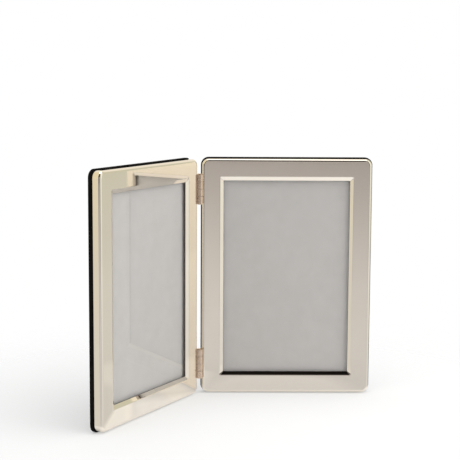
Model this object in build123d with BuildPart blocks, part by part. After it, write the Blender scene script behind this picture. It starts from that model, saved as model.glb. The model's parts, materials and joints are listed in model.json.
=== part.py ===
from build123d import *
import os
from math import atan2, cos, radians, sin, sqrt

# Hinged double photo frame: two pressed metal panels that fold like a book.
# Millimetres, +Z up. The right panel faces -Y and the left one stands folded towards the viewer.

# Photo, glass and what shows of them
photo_width = 101.6
photo_height = 152.4
pocket_clearance = 0.3
lap_sides = 3.05
lap_ends = 2.7

# Pressed metal front
border = 16.25
sheet = 0.8
shell_depth = 6.6
edge_radius = 2.2
corner_radius = 5.0
bevel_width = 2.8
bevel_depth = 1.2
bevel_outer_corner = 1.2
bevel_inner_corner = 0.3
bend_radius = 1.5
least_radius = 0.2

# Layers behind the bevel
glass_thickness = 2.0
photo_card_thickness = 0.4
packing_thickness = 1.2
core_clearance = 0.2

# Velvet back and its door
back_thickness = 3.0
back_overhang = 0.95
back_rounding = 0.6
door_clearance = 0.3
door_rounding = 0.4

# Turn clips and their rivets
clip_width = 7.0
clip_reach = 8.5
clip_thickness = 0.8
clip_play = 0.1
clip_pivot_inset = 4.5
clip_end_inset = 36.5
clip_rib_length = 2.6
clip_rib_width = 2.0
clip_rib_rise = 0.5
clip_rivet_radius = 1.25
clip_bore_clearance = 0.05
clip_head_radius = 2.5
clip_head_rise = 1.0
clip_rivet_depth = 6.0

# Hinges
fold_angle = 60.0
half_gap = 1.7
axis_forward = 0.4
hinge_length = 22.0
hinge_end_inset = 22.75
knuckles = 4
knuckle_radius = 2.6
knuckle_gap = 0.2
swing_clearance = 0.3
leaf_thickness = 0.6
leaf_setback = 0.4
pin_radius = 1.1
pin_clearance = 0.05
pin_head_radius = 1.8
pin_head_rise = 0.6
hinge_rivet_spread = 7.0
hinge_rivet_radius = 0.6
hinge_rivet_head_radius = 1.1
hinge_rivet_head_rise = 0.4
hinge_rivet_bite = 2.5
head_rounding_share = 0.8

# Sizes that follow from those
sight_width = photo_width - 2 * lap_sides
sight_height = photo_height - 2 * lap_ends
shell_width = sight_width + 2 * border
shell_height = sight_height + 2 * border
pocket_width = photo_width + 2 * pocket_clearance
pocket_height = photo_height + 2 * pocket_clearance
bevel_run = bevel_width / bevel_depth
lip_back = bevel_depth + sheet / cos(atan2(bevel_depth, bevel_width))
card_front = lip_back + glass_thickness
packing_front = card_front + photo_card_thickness
door_front = packing_front + packing_thickness
total_depth = shell_depth + back_thickness
mid_height = back_overhang + shell_height / 2
hinge_height = shell_height / 2 - hinge_end_inset
clip_height = pocket_height / 2 - clip_end_inset
inner_edge_radius = max(edge_radius - sheet, least_radius)
swing_radius = knuckle_radius + swing_clearance
knuckle_pitch = (hinge_length + knuckle_gap) / knuckles
leaf_front = sqrt(swing_radius**2 - (half_gap - leaf_thickness) ** 2) - axis_forward
leaf_back = shell_depth - leaf_setback
hinge_rivet_depth = (leaf_front + leaf_back) / 2
hinges = {"upper": mid_height + hinge_height, "lower": mid_height - hinge_height}

# Each panel's front face as a plane: x to its right, y up and z towards the viewer.
# The hinge axis stands at X = 0, Y = 0 while the pieces are made.
hinge_sides = {"right": -1, "left": 1}
fold_turns = {"right": 0.0, "left": radians(fold_angle)}


def front_plane(panel):
    """The plane of a panel's front face, with its origin at the middle of the face."""
    turn = fold_turns[panel]
    across = -hinge_sides[panel] * (half_gap + shell_width / 2)
    middle = (
        across * cos(turn) - axis_forward * sin(turn),
        across * sin(turn) + axis_forward * cos(turn),
        mid_height,
    )
    return Plane(origin=middle, x_dir=(cos(turn), sin(turn), 0), z_dir=(sin(turn), -cos(turn), 0))


def wall_plane(panel):
    """The plane of a panel's hinge-side wall: x towards the back, z out into the gap."""
    face = front_plane(panel)
    side = hinge_sides[panel]
    edge = face.from_local_coords((side * shell_width / 2, 0, 0))
    return Plane(origin=edge, x_dir=-face.z_dir, z_dir=face.x_dir * side)


def front_edges(block, face):
    """The edges round the foremost face of a block."""
    return block.faces().sort_by(Axis(face.origin, face.z_dir))[-1].edges()


def back_edges(block, face):
    """The edges round the rearmost face of a block."""
    return block.faces().sort_by(Axis(face.origin, face.z_dir))[0].edges()


def hinge_rivet_places(panel):
    """Where the hinge rivets go through a panel's wall, as depth and height on its wall plane."""
    up = wall_plane(panel).y_dir.Z
    return [
        (hinge_rivet_depth, up * (height - mid_height + offset))
        for height in hinges.values()
        for offset in (-hinge_rivet_spread, hinge_rivet_spread)
    ]


def clip_pivots():
    """Where the turn clips pivot on the back, by name, as x and y on the front plane."""
    across = pocket_width / 2 + clip_pivot_inset
    return {
        "upper_left": (-across, clip_height),
        "lower_left": (-across, -clip_height),
        "upper_right": (across, clip_height),
        "lower_right": (across, -clip_height),
    }


def shell_hollow(panel):
    """The space inside a pressed shell, as a block to cut away."""
    face = front_plane(panel)
    inset = 2 * sheet
    with BuildPart() as hollow:
        with BuildSketch(face.offset(-shell_depth)):
            RectangleRounded(shell_width - inset, shell_height - inset, corner_radius - sheet)
        extrude(amount=shell_depth - sheet)
        fillet(front_edges(hollow, face), inner_edge_radius)
    return hollow.part


def front_shell(panel):
    """The pressed front: rounded edge, flat border, and a mitred bevel down to the glass."""
    face = front_plane(panel)
    wall = wall_plane(panel)
    hollow = shell_hollow(panel)
    bevel_back = 2 * (lip_back - sheet) * bevel_run
    with BuildPart() as shell:
        with BuildSketch(face.offset(-shell_depth)):
            RectangleRounded(shell_width, shell_height, corner_radius)
        extrude(amount=shell_depth)
        fillet(front_edges(shell, face), edge_radius)
        add(hollow, mode=Mode.SUBTRACT)
        with BuildSketch(face.offset(-sheet)):
            Rectangle(sight_width + bevel_back, sight_height + bevel_back)
        with BuildSketch(face.offset(-lip_back)):
            Rectangle(sight_width, sight_height)
        loft()
        with BuildSketch(face):
            bevel_widths = (sight_width + 2 * bevel_width, sight_height + 2 * bevel_width)
            RectangleRounded(*bevel_widths, bevel_outer_corner)
        with BuildSketch(face.offset(-bevel_depth)):
            RectangleRounded(sight_width, sight_height, bevel_inner_corner)
        loft(mode=Mode.SUBTRACT)
        with BuildSketch(face.offset(-lip_back)):
            RectangleRounded(sight_width, sight_height, bevel_inner_corner)
        extrude(amount=lip_back, mode=Mode.SUBTRACT)
        border_face = shell.faces().sort_by(Axis(face.origin, face.z_dir))[-1]
        fillet(border_face.inner_wires()[0].edges(), bend_radius)
        for height in hinges.values():
            with BuildSketch(Plane.XY.offset(height - hinge_length / 2 - swing_clearance)):
                Circle(swing_radius)
            extrude(amount=hinge_length + 2 * swing_clearance, mode=Mode.SUBTRACT)
        with BuildSketch(wall):
            with Locations(*hinge_rivet_places(panel)):
                Circle(hinge_rivet_radius)
        extrude(amount=-sheet, mode=Mode.SUBTRACT)
    return shell.part


def core_frame(panel):
    """The fibreboard ring inside the shell that locates the glass and takes the rivets."""
    face = front_plane(panel)
    wall = wall_plane(panel)
    inset = sheet + core_clearance
    with BuildPart() as core:
        with BuildSketch(face.offset(-shell_depth)):
            RectangleRounded(shell_width - 2 * inset, shell_height - 2 * inset, corner_radius - inset)
        extrude(amount=shell_depth - inset)
        fillet(front_edges(core, face), inner_edge_radius)
        with BuildSketch(face.offset(-shell_depth)):
            Rectangle(pocket_width, pocket_height)
        extrude(amount=shell_depth, mode=Mode.SUBTRACT)
        with BuildSketch(face.offset(-shell_depth)):
            with Locations(*clip_pivots().values()):
                Circle(clip_rivet_radius)
        extrude(amount=clip_rivet_depth - back_thickness, mode=Mode.SUBTRACT)
        with BuildSketch(wall):
            with Locations(*hinge_rivet_places(panel)):
                Circle(hinge_rivet_radius)
        extrude(amount=-(inset + hinge_rivet_bite), mode=Mode.SUBTRACT)
    return core.part


def velvet_back(panel):
    """The velvet-wrapped ring behind the shell, the rim on which the panel stands."""
    face = front_plane(panel)
    rim = 2 * back_overhang
    with BuildPart() as back:
        with BuildSketch(face.offset(-total_depth)):
            RectangleRounded(shell_width + rim, shell_height + rim, corner_radius + back_overhang)
        extrude(amount=back_thickness)
        fillet(front_edges(back, face) + back_edges(back, face), back_rounding)
        with BuildSketch(face.offset(-total_depth)):
            Rectangle(pocket_width, pocket_height)
            with Locations(*clip_pivots().values()):
                Circle(clip_rivet_radius)
        extrude(amount=back_thickness, mode=Mode.SUBTRACT)
    return back.part


def flat_layer(panel, width, height, front, thickness):
    """A flat sheet of the stack behind the bevel, from its front depth."""
    with BuildPart() as layer:
        with BuildSketch(front_plane(panel).offset(-front - thickness)):
            Rectangle(width, height)
        extrude(amount=thickness)
    return layer.part


def back_door(panel):
    """The velvet-covered board that closes the back, flush with the ring round it."""
    face = front_plane(panel)
    with BuildPart() as door:
        with BuildSketch(face.offset(-total_depth)):
            Rectangle(pocket_width - 2 * door_clearance, pocket_height - 2 * door_clearance)
        extrude(amount=total_depth - door_front)
        fillet(back_edges(door, face), door_rounding)
    return door.part


def turn_clip(panel, pivot):
    """One pressed clip: a rounded strip from its pivot in over the door, with a finger rib."""
    face = front_plane(panel)
    inward = -1 if pivot[0] > 0 else 1
    arm = clip_reach - clip_width / 2
    clip_back = total_depth + clip_play + clip_thickness
    with BuildPart() as clip:
        with BuildSketch(face.offset(-clip_back)):
            with Locations((pivot[0] + inward * arm / 2, pivot[1])):
                SlotCenterToCenter(arm, clip_width)
            with Locations(pivot):
                Circle(clip_rivet_radius + clip_bore_clearance, mode=Mode.SUBTRACT)
        extrude(amount=clip_thickness)
        with BuildSketch(face.offset(-clip_back)):
            with Locations((pivot[0] + inward * arm, pivot[1])):
                SlotCenterToCenter(clip_rib_length, clip_rib_width, rotation=90)
        extrude(amount=-clip_rib_rise)
        fillet(back_edges(clip, face), clip_rib_rise * head_rounding_share)
    return clip.part


def clip_rivets(panel):
    """The four rivets on which the clips turn, let into the ring and the core."""
    face = front_plane(panel)
    head_seat = total_depth + clip_thickness + 2 * clip_play
    pivots = clip_pivots().values()
    with BuildPart() as rivets:
        with BuildSketch(face.offset(-head_seat)):
            with Locations(*pivots):
                Circle(clip_rivet_radius)
        extrude(amount=head_seat - total_depth + clip_rivet_depth)
        with BuildSketch(face.offset(-head_seat - clip_head_rise)):
            with Locations(*pivots):
                Circle(clip_head_radius)
        extrude(amount=clip_head_rise)
        tops = rivets.faces().group_by(Axis(face.origin, face.z_dir))[0]
        fillet(tops.edges(), clip_head_rise * head_rounding_share)
    return rivets.part


def hinge_leaf(panel, height):
    """One hinge leaf: a plate on the panel's wall that carries every other knuckle."""
    wall = wall_plane(panel)
    up = wall.y_dir.Z
    bottom = height - hinge_length / 2
    length = knuckle_pitch - knuckle_gap
    bore = pin_radius if panel == "right" else pin_radius + pin_clearance
    first = 0 if panel == "right" else 1
    finger_front = pin_radius - axis_forward
    with BuildPart() as leaf:
        with BuildSketch(wall):
            with Locations(((leaf_front + leaf_back) / 2, up * (height - mid_height))):
                Rectangle(leaf_back - leaf_front, hinge_length)
            with Locations(*hinge_rivet_places(panel)):
                Circle(hinge_rivet_radius, mode=Mode.SUBTRACT)
        extrude(amount=leaf_thickness)
        for index in range(first, knuckles, 2):
            start = bottom + index * knuckle_pitch
            with BuildSketch(wall):
                with Locations(((finger_front + leaf_back) / 2, up * (start + length / 2 - mid_height))):
                    Rectangle(leaf_back - finger_front, length)
                with Locations(*hinge_rivet_places(panel)):
                    Circle(hinge_rivet_radius, mode=Mode.SUBTRACT)
            extrude(amount=leaf_thickness)
            with BuildSketch(Plane.XY.offset(start)):
                Circle(knuckle_radius)
            extrude(amount=length)
        with BuildSketch(Plane.XY.offset(bottom)):
            Circle(bore)
        extrude(amount=hinge_length, mode=Mode.SUBTRACT)
    return leaf.part


def hinge_pin(height):
    """The pin through the knuckles of one hinge, with a low rounded head at each end."""
    bottom = height - hinge_length / 2 - knuckle_gap / 2
    top = height + hinge_length / 2 + knuckle_gap / 2
    with BuildPart() as pin:
        with BuildSketch(Plane.XY.offset(bottom)):
            Circle(pin_radius)
        extrude(amount=top - bottom)
        with BuildSketch(Plane.XY.offset(top)):
            Circle(pin_head_radius)
        extrude(amount=pin_head_rise)
        with BuildSketch(Plane.XY.offset(bottom)):
            Circle(pin_head_radius)
        extrude(amount=-pin_head_rise)
        ends = pin.faces().sort_by(Axis.Z)
        fillet(ends[0].edges() + ends[-1].edges(), pin_head_rise * head_rounding_share)
    return pin.part


def hinge_rivets(panel):
    """The low-headed rivets that hold a panel's two hinge leaves to its wall and core."""
    wall = wall_plane(panel)
    grip = leaf_thickness + sheet + core_clearance + hinge_rivet_bite
    with BuildPart() as rivets:
        with BuildSketch(wall.offset(leaf_thickness)):
            with Locations(*hinge_rivet_places(panel)):
                Circle(hinge_rivet_radius)
        extrude(amount=-grip)
        with BuildSketch(wall.offset(leaf_thickness)):
            with Locations(*hinge_rivet_places(panel)):
                Circle(hinge_rivet_head_radius)
        extrude(amount=hinge_rivet_head_rise)
        tops = rivets.faces().group_by(Axis(wall.origin, wall.z_dir))[-1]
        fillet(tops.edges(), hinge_rivet_head_rise * head_rounding_share)
    return rivets.part


def panel_pieces(panel):
    """Every piece of one panel, by name."""
    pieces = {
        f"{panel}_front_shell": front_shell(panel),
        f"{panel}_core_frame": core_frame(panel),
        f"{panel}_velvet_back": velvet_back(panel),
        f"{panel}_glass": flat_layer(panel, photo_width, photo_height, lip_back, glass_thickness),
        f"{panel}_photo_card": flat_layer(panel, photo_width, photo_height, card_front, photo_card_thickness),
        f"{panel}_packing_card": flat_layer(panel, photo_width, photo_height, packing_front, packing_thickness),
        f"{panel}_back_door": back_door(panel),
        f"{panel}_clip_rivets": clip_rivets(panel),
        f"{panel}_hinge_rivets": hinge_rivets(panel),
    }
    for name, pivot in clip_pivots().items():
        pieces[f"{panel}_{name}_clip"] = turn_clip(panel, pivot)
    for name, height in hinges.items():
        pieces[f"{panel}_{name}_hinge_leaf"] = hinge_leaf(panel, height)
    return pieces


pieces = {**panel_pieces("right"), **panel_pieces("left")}
for name, height in hinges.items():
    pieces[f"{name}_hinge_pin"] = hinge_pin(height)

# The origin is the middle of the standing frame, on the surface that it stands on.
extent = Compound(list(pieces.values())).bounding_box()
middle = extent.center()
to_origin = Location((-middle.X, -middle.Y, -extent.min.Z))

os.makedirs("parts", exist_ok=True)
for name, piece in pieces.items():
    placed = piece.moved(to_origin)
    placed.label = name
    export_step(placed, f"parts/{name}.step")

print("size", extent.size)
print("hinge axis", -middle.X, -middle.Y)
for panel in hinge_sides:
    face = front_plane(panel)
    print(panel, "front normal", face.z_dir, "base", face.from_local_coords((0, -mid_height, -total_depth)))
    for name, pivot in clip_pivots().items():
        place = face.from_local_coords((*pivot, -total_depth)) - Vector(middle.X, middle.Y, extent.min.Z)
        print(panel, name, "clip", place)
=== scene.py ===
import json
import math

import bpy
from mathutils import Matrix, Vector


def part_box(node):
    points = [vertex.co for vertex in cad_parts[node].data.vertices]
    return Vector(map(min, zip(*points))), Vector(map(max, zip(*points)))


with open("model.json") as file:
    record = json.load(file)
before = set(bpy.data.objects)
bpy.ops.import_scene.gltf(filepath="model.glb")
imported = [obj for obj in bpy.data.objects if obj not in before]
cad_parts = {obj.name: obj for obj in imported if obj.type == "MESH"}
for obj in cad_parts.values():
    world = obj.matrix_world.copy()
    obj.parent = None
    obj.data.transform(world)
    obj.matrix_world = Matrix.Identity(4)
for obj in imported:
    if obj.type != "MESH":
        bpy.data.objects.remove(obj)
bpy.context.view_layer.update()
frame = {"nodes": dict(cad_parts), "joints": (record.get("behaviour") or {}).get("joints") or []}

# Metres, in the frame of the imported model. The hinge axis is the one line that both panels share.
MM = 0.001
FOLD = next(joint for joint in frame["joints"] if joint["name"] == "fold")
HINGE = Vector(FOLD["pos_m"])
PANEL_TURN = {"right": 0.0, "left": math.radians(60)}
PANEL_SIDE = {"right": 1, "left": -1}
FACING = {panel: Vector((math.sin(turn), -math.cos(turn), 0)) for panel, turn in PANEL_TURN.items()}

# The right panel isn't turned, so the box of its shell gives where both faces lie from the hinge axis.
SHELL_LOW, SHELL_HIGH = (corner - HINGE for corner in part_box("right_front_shell"))
MID_ACROSS = (SHELL_LOW.x + SHELL_HIGH.x) / 2
MID_HEIGHT = (SHELL_LOW.z + SHELL_HIGH.z) / 2
FACE_DEPTH = SHELL_LOW.y
# The opening's half width and half height, and how far the bevel round it goes in.
SIGHT_HALF = (47.75 * MM, 73.5 * MM)
BEVEL_DEPTH = 1.2 * MM

# The pressed border is crowned like a ball of this radius, about a millimetre from middle to corners.
CROWN_RADIUS = 5400 * MM
# What counts of the way across, in and up from a panel's middle. The left panel is crowned more from top to
# bottom.
CROWN_SHARE = {"right": (1, 0, 1), "left": (1, 0, 1.3)}

# A colour Mix node has its sockets by number, because sockets of its other kinds have the same names.
SHARE, FIRST, SECOND = 0, 6, 7
MIXED = 2

# The floor reaches this far each way. The camera sees it fade out between two distances from the object's
# middle.
FLOOR_REACH = 4.0
FADE_START, FADE_END = 0.1, 0.36
# The left panel throws light on the floor before its face, up to a line from its outer foot. Each pair gives
# the distances from the hinge axis over which it fades: square to that line, and towards the right.
THROW_SIDE = (0.58, -0.814, 0)
THROW_EDGE = (54 * MM, 57 * MM)
THROW_THINS = (-9 * MM, 13 * MM)
# The right panel throws light too, on an oval before its foot, given by its middle and its half width and
# half depth.
POOL_MIDDLE = (60 * MM, -12 * MM, -HINGE.z)
POOL_HALF = (68 * MM, 52 * MM, 1)

# What metal and glass mirror of the room, by the share of the way round from the back past the left, the
# front and the right. It is cream behind and on the left, grey between two dark edges in front, and white on
# the right.
ROOM_ROUND = [
    (0.08, "#F6F0E2"), (0.17, "#EADFBC"), (0.34, "#EADFBC"), (0.395, "#E8E0C8"),
    (0.41, "#2E2B27"), (0.445, "#2E2B27"),
    (0.46, "#B0ABA7"), (0.555, "#B0ABA7"),
    (0.57, "#1C1A18"), (0.60, "#1C1A18"),
    (0.62, "#FFFDF2"), (0.73, "#FFFDF2"),
    (0.78, "#D0CEB9"), (0.84, "#D0CEB9"), (0.87, "#F6F0E2"),
]
# Straight in front, by the sine of the height: a dim bench, a paler wall and a dark ceiling.
ROOM_FRONT = [(0.06, "#9A9492"), (0.19, "#C8C2BF"), (0.25, "#D8D2CF"), (0.33, "#14120F")]
# Plain light falls on what isn't a mirror, most of it from the right, from the front and from above.
PLAIN_LIGHT_FROM = (0.55, -0.55, 0.63)

# The photograph's camera, from lines measured in it: its place is given from the foot of the hinge axis.
IMAGE_SIZE = 460
FOCAL_PIXELS = 1297.4
CAMERA_FROM_HINGE = Vector((8.2, -971.5, 254.4)) * MM
CAMERA_YAW = math.radians(0.867)
CAMERA_PITCH = math.radians(7.486)
CAMERA_ROLL = math.radians(0.301)


def linear(colour):
    """An sRGB hex colour as linear red, green, blue and alpha."""
    channels = [int(colour[i : i + 2], 16) / 255 for i in (1, 3, 5)]
    return [c / 12.92 if c <= 0.04045 else ((c + 0.055) / 1.055) ** 2.4 for c in channels] + [1.0]


def add(tree, kind, inputs=None, **settings):
    """One node with its settings. An input is given its value, or the socket that feeds it."""
    node = tree.nodes.new("ShaderNode" + kind)
    for name, value in settings.items():
        setattr(node, name, value)
    for name, value in (inputs or {}).items():
        if isinstance(value, bpy.types.NodeSocket):
            tree.links.new(value, node.inputs[name])
        else:
            node.inputs[name].default_value = value
    return node


def new_material(name):
    """An empty material and its node tree."""
    material = bpy.data.materials.new(name)
    material.use_nodes = True
    material.node_tree.nodes.clear()
    return material, material.node_tree


def show(tree, shader):
    """Makes a shader the one that a material shows."""
    add(tree, "OutputMaterial", {"Surface": shader.outputs[0]})


def panel_coordinates(tree, panel):
    """Place on a panel: x across it from the hinge axis, y into its depth and z up, in metres."""
    place = add(tree, "TexCoord").outputs["Object"]
    turned = {"Vector": place, "Location": HINGE, "Rotation": (0, 0, PANEL_TURN[panel])}
    return add(tree, "Mapping", turned, vector_type="TEXTURE").outputs["Vector"]


def pressed_crown(tree, panel, place, off_centre):
    """The normal of pressed sheet, crowned and a few hundredths of a millimetre out of flat."""
    finger_width = 34 * MM
    out_of_flat = 0.03 * MM
    wave = add(tree, "TexNoise", {"Vector": place, "Scale": 1 / finger_width, "Detail": 1.0})
    ripple = add(tree, "Math", {0: wave.outputs["Fac"], 1: out_of_flat}, operation="MULTIPLY")
    counted = {0: off_centre, 1: CROWN_SHARE[panel]}
    on_face = add(tree, "VectorMath", counted, operation="MULTIPLY").outputs[0]
    squared = add(tree, "VectorMath", {0: on_face, 1: on_face}, operation="DOT_PRODUCT")
    crown = add(tree, "Math", {0: squared.outputs["Value"], 1: -0.5 / CROWN_RADIUS, 2: ripple.outputs[0]},
                operation="MULTIPLY_ADD")
    return add(tree, "Bump", {"Height": crown.outputs[0], "Distance": 1.0}).outputs["Normal"]


def painted_shade_mask(tree, panel, off_centre):
    """1 where the sheet is bare, which is its cut edge round the glass and its back, and 0 on the plate:
    where painted shade goes, for the recess beside the glass and the hollow behind the sheet.
    """
    below_bevel = FACE_DEPTH + BEVEL_DEPTH + 0.05 * MM
    half_width, half_height = (half + 0.3 * MM for half in SIGHT_HALF)
    part = add(tree, "SeparateXYZ", {"Vector": off_centre})
    deep = add(tree, "Math", {0: part.outputs["Y"], 1: below_bevel}, operation="GREATER_THAN")
    across = add(tree, "Math", {0: part.outputs["X"], 1: 0, 2: half_width}, operation="COMPARE")
    upright = add(tree, "Math", {0: part.outputs["Z"], 1: 0, 2: half_height}, operation="COMPARE")
    window = add(tree, "Math", {0: across.outputs[0], 1: upright.outputs[0]}, operation="MULTIPLY")
    cut_edge = add(tree, "Math", {0: window.outputs[0], 1: deep.outputs[0]}, operation="MULTIPLY")
    normal = add(tree, "TexCoord").outputs["Normal"]
    backward = add(tree, "VectorMath", {0: normal, 1: -FACING[panel]}, operation="DOT_PRODUCT")
    back = add(tree, "Math", {0: backward.outputs["Value"], 1: 0.5}, operation="GREATER_THAN")
    return add(tree, "Math", {0: cut_edge.outputs[0], 1: back.outputs[0]}, operation="MAXIMUM").outputs[0]


def polished_silver_plate(panel):
    """Pressed steel sheet, silver plated and buffed: a warm mirror, a little wavy, with faint haze, and
    painted shade on its bare cut edge and back.
    """
    material, tree = new_material(f"silver_plate_buffed_{panel}")
    place = panel_coordinates(tree, panel)
    middle = (PANEL_SIDE[panel] * MID_ACROSS, 0, MID_HEIGHT)
    off_centre = add(tree, "VectorMath", {0: place, 1: middle}, operation="SUBTRACT").outputs[0]
    normal = pressed_crown(tree, panel, place, off_centre)
    # Buffing lines are microns wide, so they are drawn as coarse as a third of a millimetre to show at all.
    line_width = 0.35 * MM
    haze_patch = 18 * MM
    along = add(tree, "Mapping", {"Vector": place, "Scale": (1, 1, 0.06)}).outputs["Vector"]
    lines = add(tree, "TexNoise", {"Vector": along, "Scale": 1 / line_width, "Detail": 3.0})
    haze = add(tree, "TexNoise", {"Vector": place, "Scale": 1 / haze_patch, "Detail": 3.0})
    both = add(tree, "Math", {0: lines.outputs["Fac"], 1: haze.outputs["Fac"]}, operation="MULTIPLY")
    gloss = add(tree, "MapRange", {"Value": both.outputs[0], "From Min": 0.1, "From Max": 0.5,
                                   "To Min": 0.025, "To Max": 0.07})
    tint = add(tree, "Mix", {SHARE: haze.outputs["Fac"], FIRST: linear("#F8F1E6"),
                             SECOND: linear("#F5ECE0")}, data_type="RGBA")
    # Bare steel is darker than the plate, and is painted darker still: painted shade for the recess beside
    # the glass and the hollow behind the sheet.
    painted_shade = painted_shade_mask(tree, panel, off_centre)
    colour = add(tree, "Mix", {SHARE: painted_shade, FIRST: tint.outputs[MIXED], SECOND: linear("#766F66")},
                 data_type="RGBA")
    show(tree, add(tree, "BsdfPrincipled", {
        "Base Color": colour.outputs[MIXED], "Metallic": 1.0, "Roughness": gloss.outputs[0],
        "Normal": normal,
    }))
    return material


def black_velvet():
    """Cotton velvet glued over board: a deep black nap that lightens where the pile lies over."""
    material, tree = new_material("cotton_velvet_woven")
    place = add(tree, "TexCoord").outputs["Object"]
    # The pile is about 0.1 mm apart, and is drawn at 0.45 mm so that it shows.
    pile_spacing = 0.45 * MM
    pile_depth = 0.12 * MM
    brushed_patch = 22 * MM
    pile = add(tree, "TexVoronoi", {"Vector": place, "Scale": 1 / pile_spacing})
    nap = add(tree, "TexNoise", {"Vector": place, "Scale": 1 / brushed_patch, "Detail": 4.0,
                                 "Roughness": 0.65})
    lies_over = add(tree, "MapRange", {"Value": nap.outputs["Fac"], "From Min": 0.45, "From Max": 0.68})
    brushed = add(tree, "Mix", {SHARE: lies_over.outputs[0], FIRST: linear("#050504"),
                                SECOND: linear("#1C1B18")}, data_type="RGBA")
    tips = add(tree, "Mix", {SHARE: pile.outputs["Distance"], FIRST: brushed.outputs[MIXED],
                             SECOND: linear("#0E0D0B")}, data_type="RGBA")
    bump = add(tree, "Bump", {"Height": pile.outputs["Distance"], "Distance": pile_depth, "Strength": 0.6})
    show(tree, add(tree, "BsdfPrincipled", {
        "Base Color": tips.outputs[MIXED], "Roughness": 0.95, "Specular IOR Level": 0.1,
        "Sheen Weight": 0.02, "Sheen Roughness": 0.4, "Sheen Tint": linear("#6B655A"),
        "Normal": bump.outputs["Normal"],
    }))
    return material


def float_glass():
    """Float glass with cut edges: clear and flat, with the faintest breath of smears."""
    material, tree = new_material("float_glass_cut")
    place = add(tree, "TexCoord").outputs["Object"]
    smear_width = 30 * MM
    smear = add(tree, "TexNoise", {"Vector": place, "Scale": 1 / smear_width, "Detail": 4.0})
    gloss = add(tree, "MapRange", {"Value": smear.outputs["Fac"], "From Min": 0.5, "From Max": 0.8,
                                   "To Min": 0.0, "To Max": 0.03})
    # A pane this thin barely bends light, so it is a clear sheet with a mirror on its outer faces.
    clear = add(tree, "BsdfTransparent", {"Color": linear("#FCFCFC")})
    mirror = add(tree, "BsdfGlossy", {"Color": linear("#FFFFFF"), "Roughness": gloss.outputs[0]})
    fresnel = add(tree, "Fresnel", {"IOR": 1.5})
    behind = add(tree, "NewGeometry").outputs["Backfacing"]
    outer = add(tree, "Math", {0: 1.0, 1: behind}, operation="SUBTRACT")
    share = add(tree, "Math", {0: fresnel.outputs[0], 1: outer.outputs[0]}, operation="MULTIPLY")
    show(tree, add(tree, "MixShader", {0: share.outputs[0], 1: clear.outputs[0], 2: mirror.outputs[0]}))
    return material


def matt_photo_card(panel):
    """Matt grey card, uncoated: short paper fibres and a faint mottle."""
    material, tree = new_material(f"matt_card_uncoated_{panel}")
    place = panel_coordinates(tree, panel)
    # Paper fibres are 0.03 mm wide, and are drawn ten times as wide so that they show.
    fibre_width = 0.3 * MM
    fibre_height = 0.02 * MM
    mottle_patch = 9 * MM
    fibre = add(tree, "TexNoise", {"Vector": place, "Scale": 1 / fibre_width, "Detail": 3.0})
    mottle = add(tree, "TexNoise", {"Vector": place, "Scale": 1 / mottle_patch, "Detail": 3.0})
    both = add(tree, "Math", {0: fibre.outputs["Fac"], 1: mottle.outputs["Fac"]}, operation="MULTIPLY")
    tone = add(tree, "MapRange", {"Value": both.outputs[0], "From Min": 0.12, "From Max": 0.4})
    colour = add(tree, "Mix", {SHARE: tone.outputs[0], FIRST: linear("#BDBAB7"), SECOND: linear("#C3C0BD")},
                 data_type="RGBA")
    bump = add(tree, "Bump", {"Height": fibre.outputs["Fac"], "Distance": fibre_height, "Strength": 0.4})
    show(tree, add(tree, "BsdfPrincipled", {
        "Base Color": colour.outputs[MIXED], "Roughness": 0.85, "Specular IOR Level": 0.3,
        "Normal": bump.outputs["Normal"],
    }))
    return material


def red_brass():
    """Red brass, rolled and polished: rosy brown, its gloss softened by handling."""
    material, tree = new_material("red_brass_polished")
    place = add(tree, "TexCoord").outputs["Object"]
    haze_patch = 3 * MM
    haze = add(tree, "TexNoise", {"Vector": place, "Scale": 1 / haze_patch, "Detail": 4.0})
    gloss = add(tree, "MapRange", {"Value": haze.outputs["Fac"], "From Min": 0.3, "From Max": 0.7,
                                   "To Min": 0.22, "To Max": 0.34})
    colour = add(tree, "Mix", {SHARE: haze.outputs["Fac"], FIRST: linear("#DCC3AF"),
                               SECOND: linear("#E9D4C2")}, data_type="RGBA")
    show(tree, add(tree, "BsdfPrincipled", {
        "Base Color": colour.outputs[MIXED], "Metallic": 1.0, "Roughness": gloss.outputs[0],
    }))
    return material


def nickel_spring_steel():
    """Spring steel, stamped, tumbled and nickel plated: a satin grey-white with tiny dents."""
    material, tree = new_material("spring_steel_nickel_plated")
    place = add(tree, "TexCoord").outputs["Object"]
    dent_width = 0.6 * MM
    dent_depth = 0.02 * MM
    dents = add(tree, "TexNoise", {"Vector": place, "Scale": 1 / dent_width, "Detail": 3.0})
    gloss = add(tree, "MapRange", {"Value": dents.outputs["Fac"], "From Min": 0.3, "From Max": 0.7,
                                   "To Min": 0.2, "To Max": 0.36})
    colour = add(tree, "Mix", {SHARE: dents.outputs["Fac"], FIRST: linear("#C9C5BC"),
                               SECOND: linear("#D6D2CA")}, data_type="RGBA")
    bump = add(tree, "Bump", {"Height": dents.outputs["Fac"], "Distance": dent_depth, "Strength": 0.5})
    show(tree, add(tree, "BsdfPrincipled", {
        "Base Color": colour.outputs[MIXED], "Metallic": 1.0, "Roughness": gloss.outputs[0],
        "Normal": bump.outputs["Normal"],
    }))
    return material


def pressed_board(name, dark, pale, fleck_width):
    """Hardboard or greyboard: pressed fibres in flecks of brown and grey."""
    material, tree = new_material(name)
    place = add(tree, "TexCoord").outputs["Object"]
    fleck_height = 0.05 * MM
    fleck = add(tree, "TexNoise", {"Vector": place, "Scale": 1 / fleck_width, "Detail": 5.0,
                                   "Roughness": 0.7})
    colour = add(tree, "Mix", {SHARE: fleck.outputs["Fac"], FIRST: linear(dark), SECOND: linear(pale)},
                 data_type="RGBA")
    bump = add(tree, "Bump", {"Height": fleck.outputs["Fac"], "Distance": fleck_height, "Strength": 0.5})
    show(tree, add(tree, "BsdfPrincipled", {
        "Base Color": colour.outputs[MIXED], "Roughness": 0.9, "Normal": bump.outputs["Normal"],
    }))
    return material


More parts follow.
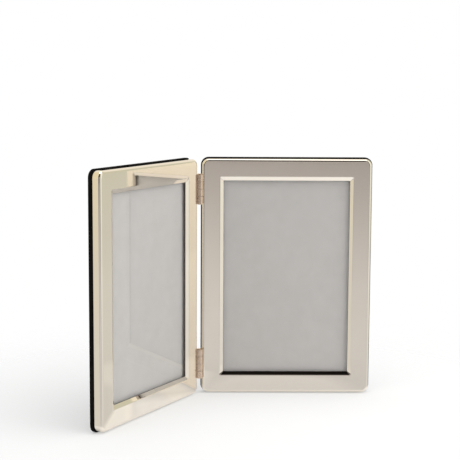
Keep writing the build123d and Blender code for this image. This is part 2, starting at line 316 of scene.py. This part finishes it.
def clothe(material, *names):
    """Gives CAD nodes a material in place of the plain one that they came with."""
    for name in names:
        mesh = frame["nodes"][name].data
        mesh.materials.clear()
        mesh.materials.append(material)


velvet = black_velvet()
glass = float_glass()
brass = red_brass()
nickel = nickel_spring_steel()
hardboard = pressed_board("hardboard_pressed", dark="#5A4632", pale="#8A6E50", fleck_width=0.8 * MM)
greyboard = pressed_board("greyboard_pressed", dark="#8C8172", pale="#A99C88", fleck_width=0.6 * MM)
clips = [name for name in frame["nodes"] if name.endswith("_clip")]
leaves = [name for name in frame["nodes"] if name.endswith("_leaf")]

for panel in PANEL_TURN:
    clothe(polished_silver_plate(panel), f"{panel}_front_shell")
    clothe(matt_photo_card(panel), f"{panel}_photo_card")
    clothe(velvet, f"{panel}_velvet_back", f"{panel}_back_door")
    clothe(glass, f"{panel}_glass")
    clothe(hardboard, f"{panel}_core_frame")
    clothe(greyboard, f"{panel}_packing_card")
    clothe(nickel, f"{panel}_clip_rivets")
    clothe(brass, f"{panel}_hinge_rivets")
    # The lamps reach the card through the glass, as they do through a real pane.
    frame["nodes"][f"{panel}_glass"].visible_shadow = False
clothe(nickel, *clips)
clothe(brass, *leaves, "upper_hinge_pin", "lower_hinge_pin")


def thrown_light(tree, place):
    """How brightly the panels light the floor at a place: the left a wedge, the right a dimmer oval."""
    from_hinge = add(tree, "VectorMath", {0: place, 1: HINGE}, operation="SUBTRACT").outputs[0]
    past_line = add(tree, "VectorMath", {0: from_hinge, 1: THROW_SIDE}, operation="DOT_PRODUCT")
    lit = add(tree, "MapRange", {"Value": past_line.outputs["Value"],
                                 "From Min": THROW_EDGE[1], "From Max": THROW_EDGE[0]})
    ahead = add(tree, "VectorMath", {0: from_hinge, 1: FACING["left"]}, operation="DOT_PRODUCT")
    before = add(tree, "Math", {0: ahead.outputs["Value"], 1: 0.0}, operation="GREATER_THAN")
    across = add(tree, "SeparateXYZ", {"Vector": from_hinge})
    full = add(tree, "MapRange", {"Value": across.outputs["X"],
                                  "From Min": THROW_THINS[1], "From Max": THROW_THINS[0]})
    spread = add(tree, "Math", {0: before.outputs[0], 1: full.outputs[0]}, operation="MULTIPLY")
    wedge = add(tree, "Math", {0: lit.outputs[0], 1: spread.outputs[0]}, operation="MULTIPLY")
    from_pool = add(tree, "VectorMath", {0: from_hinge, 1: POOL_MIDDLE}, operation="SUBTRACT")
    oval = add(tree, "VectorMath", {0: from_pool.outputs[0], 1: POOL_HALF}, operation="DIVIDE")
    outward = add(tree, "VectorMath", {0: oval.outputs[0]}, operation="LENGTH")
    pool = add(tree, "MapRange", {"Value": outward.outputs["Value"], "From Min": 1.0, "From Max": 0.7,
                                  "To Max": 0.36})
    return add(tree, "Math", {0: wedge.outputs[0], 1: pool.outputs[0]}, operation="MAXIMUM").outputs[0]


def mirrored_table_top(tree, place, pale):
    """The table top that metal and glass see: white from above and where the panels throw light on it."""
    # At a low angle it is greyer, and mirrors the room.
    slant = add(tree, "LayerWeight", {"Blend": 0.5})
    above = add(tree, "MapRange", {"Value": slant.outputs["Facing"], "From Min": 0.7, "From Max": 0.3})
    bright = add(tree, "Math", {0: thrown_light(tree, place), 1: above.outputs[0]}, operation="MAXIMUM")
    white = add(tree, "Mix", {SHARE: bright.outputs[0], FIRST: linear("#CFCFCF"), SECOND: linear("#FFFFFF")},
                data_type="RGBA")
    glow = add(tree, "Emission", {"Color": white.outputs[MIXED]})
    shade = add(tree, "MapRange", {"Value": above.outputs[0], "To Min": 0.18, "To Max": 0.8})
    shaded = add(tree, "MixShader", {0: shade.outputs[0], 1: glow.outputs[0], 2: pale.outputs[0]})
    mirror = add(tree, "BsdfGlossy", {"Color": linear("#FFFFFF"), "Roughness": 0.12})
    fresnel = add(tree, "Fresnel", {"IOR": 1.5})
    return add(tree, "MixShader", {0: fresnel.outputs[0], 1: shaded.outputs[0], 2: mirror.outputs[0]})


def white_table_top():
    """Cast acrylic, polished: white, and glossy enough to mirror the room at a low angle."""
    material, tree = new_material("table_top_acrylic")
    place = add(tree, "TexCoord").outputs["Object"]
    pale = add(tree, "BsdfDiffuse", {"Color": linear("#FAFAF9")})
    gleam = mirrored_table_top(tree, place, pale)
    # The camera sees it as a veil over the white background, which keeps the object's shadow and ends a
    # little way off.
    away = add(tree, "VectorMath", {0: place}, operation="LENGTH")
    fade = add(tree, "MapRange", {"Value": away.outputs["Value"], "From Min": FADE_START,
                                  "From Max": FADE_END, "To Min": 0.35, "To Max": 1.0},
               interpolation_type="SMOOTHSTEP")
    nothing = add(tree, "BsdfTransparent")
    veil = add(tree, "MixShader", {0: fade.outputs[0], 1: pale.outputs[0], 2: nothing.outputs[0]})
    rays = add(tree, "LightPath")
    mirrored = add(tree, "Math", {0: rays.outputs["Is Glossy Ray"], 1: rays.outputs["Is Transmission Ray"]},
                   operation="MAXIMUM")
    unseen = add(tree, "MixShader", {0: mirrored.outputs[0], 1: pale.outputs[0], 2: gleam.outputs[0]})
    show(tree, add(tree, "MixShader", {0: rays.outputs["Is Camera Ray"], 1: unseen.outputs[0],
                                       2: veil.outputs[0]}))
    return material


def studio_floor():
    """A large white table top under the object."""
    mesh = bpy.data.meshes.new("floor")
    corners = [(FLOOR_REACH * x, FLOOR_REACH * y, 0) for x, y in ((-1, -1), (1, -1), (1, 1), (-1, 1))]
    mesh.from_pydata(corners, [], [(0, 1, 2, 3)])
    mesh.materials.append(white_table_top())
    floor = bpy.data.objects.new("floor", mesh)
    bpy.context.scene.collection.objects.link(floor)


def mirrored_room(tree, direction):
    """The colour of the room in a direction, for metal and glass to mirror."""
    level = add(tree, "VectorMath", {0: direction, 1: (1, 1, 0)}, operation="MULTIPLY")
    bearing = add(tree, "VectorMath", {0: level.outputs[0]}, operation="NORMALIZE")
    facing = add(tree, "SeparateXYZ", {"Vector": bearing.outputs[0]})
    rising = add(tree, "SeparateXYZ", {"Vector": direction})
    forward = add(tree, "Math", {0: facing.outputs["Y"], 1: -1.0}, operation="MULTIPLY")
    turn = add(tree, "Math", {0: facing.outputs["X"], 1: forward.outputs[0]}, operation="ARCTAN2")
    way_round = add(tree, "MapRange", {"Value": turn.outputs[0], "From Min": -math.pi, "From Max": math.pi})
    walls = add(tree, "ValToRGB", {"Fac": way_round.outputs[0]})
    bench = add(tree, "ValToRGB", {"Fac": rising.outputs["Z"]})
    for ramp, stops in ((walls, ROOM_ROUND), (bench, ROOM_FRONT)):
        elements = ramp.color_ramp.elements
        for position, colour in stops:
            elements.new(position).color = linear(colour)
        # A new ramp has a stop at each end, which isn't one of these.
        elements.remove(elements[-1])
        elements.remove(elements[0])
    # The front is a little paler on the left.
    paler = add(tree, "MapRange", {"Value": facing.outputs["X"], "From Min": -0.03, "From Max": 0.15,
                                   "To Min": 1.06, "To Max": 0.93})
    ahead = add(tree, "VectorMath", {0: bench.outputs["Color"], "Scale": paler.outputs[0]},
                operation="SCALE")
    front = add(tree, "MapRange", {"Value": facing.outputs["Y"], "From Min": -0.955, "From Max": -0.985})
    room = add(tree, "Mix", {SHARE: front.outputs[0], FIRST: walls.outputs["Color"],
                             SECOND: ahead.outputs[0]}, data_type="RGBA")
    return room.outputs[MIXED]


def studio_world():
    """Plain pale light all round and a white background, while metal and glass mirror a painted room."""
    world = bpy.data.worlds.new("studio")
    bpy.context.scene.world = world
    world.use_nodes = True
    tree = world.node_tree
    tree.nodes.clear()
    direction = add(tree, "TexCoord").outputs["Generated"]
    toward = add(tree, "VectorMath", {0: direction, 1: PLAIN_LIGHT_FROM}, operation="DOT_PRODUCT")
    share = add(tree, "MapRange", {"Value": toward.outputs["Value"], "From Min": -1.0, "From Max": 1.0})
    plain = add(tree, "Mix", {SHARE: share.outputs[0], FIRST: linear("#808080"), SECOND: linear("#FFFFFF")},
                data_type="RGBA")
    rays = add(tree, "LightPath")
    light = add(tree, "Mix", {SHARE: rays.outputs["Is Glossy Ray"], FIRST: plain.outputs[MIXED],
                              SECOND: mirrored_room(tree, direction)}, data_type="RGBA")
    seen = add(tree, "Math", {0: rays.outputs["Is Camera Ray"], 1: rays.outputs["Is Transmission Ray"]},
               operation="MAXIMUM")
    colour = add(tree, "Mix", {SHARE: seen.outputs[0], FIRST: light.outputs[MIXED],
                               SECOND: linear("#FFFFFF")}, data_type="RGBA")
    background = add(tree, "Background", {"Color": colour.outputs[MIXED]})
    add(tree, "OutputWorld", {"Surface": background.outputs["Background"]})


def soft_box(name, place, aim, size, power, mirrored):
    """A square soft light that faces a point, and shows in metal and glass or doesn't."""
    lamp = bpy.data.lights.new(name, "AREA")
    lamp.size = size
    lamp.energy = power
    lamp_object = bpy.data.objects.new(name, lamp)
    lamp_object.visible_camera = False
    lamp_object.visible_glossy = mirrored
    lamp_object.location = place
    lamp_object.rotation_euler = (Vector(aim) - Vector(place)).to_track_quat("-Z", "Y").to_euler()
    bpy.context.scene.collection.objects.link(lamp_object)


def photograph_camera():
    """The camera that took the photograph, as measured from the object's own lines."""
    forward = Vector((
        math.sin(CAMERA_YAW) * math.cos(CAMERA_PITCH),
        math.cos(CAMERA_YAW) * math.cos(CAMERA_PITCH),
        -math.sin(CAMERA_PITCH),
    ))
    level = Vector((math.cos(CAMERA_YAW), -math.sin(CAMERA_YAW), 0))
    upright = level.cross(forward)
    right = level * math.cos(CAMERA_ROLL) + upright * math.sin(CAMERA_ROLL)
    up = upright * math.cos(CAMERA_ROLL) - level * math.sin(CAMERA_ROLL)
    lens = bpy.data.cameras.new("camera")
    lens.sensor_width = 36
    lens.lens = FOCAL_PIXELS / IMAGE_SIZE * lens.sensor_width
    camera = bpy.data.objects.new("camera", lens)
    foot = Vector((HINGE.x, HINGE.y, 0))
    turn = Matrix((right, up, -forward)).transposed()
    camera.matrix_world = Matrix.Translation(foot + CAMERA_FROM_HINGE) @ turn.to_4x4()
    bpy.context.scene.collection.objects.link(camera)
    bpy.context.scene.camera = camera


studio_floor()
studio_world()
soft_box("top_light", place=(0.0, 0.0, 1.5), aim=(0, -0.05, 0), size=1.1, power=4.5, mirrored=True)
soft_box("side_light", place=(0.6, -0.2, 0.35), aim=(-0.03, 0.03, 0.09), size=0.6, power=1.6, mirrored=False)
photograph_camera()
bpy.context.scene.view_settings.view_transform = "Standard"
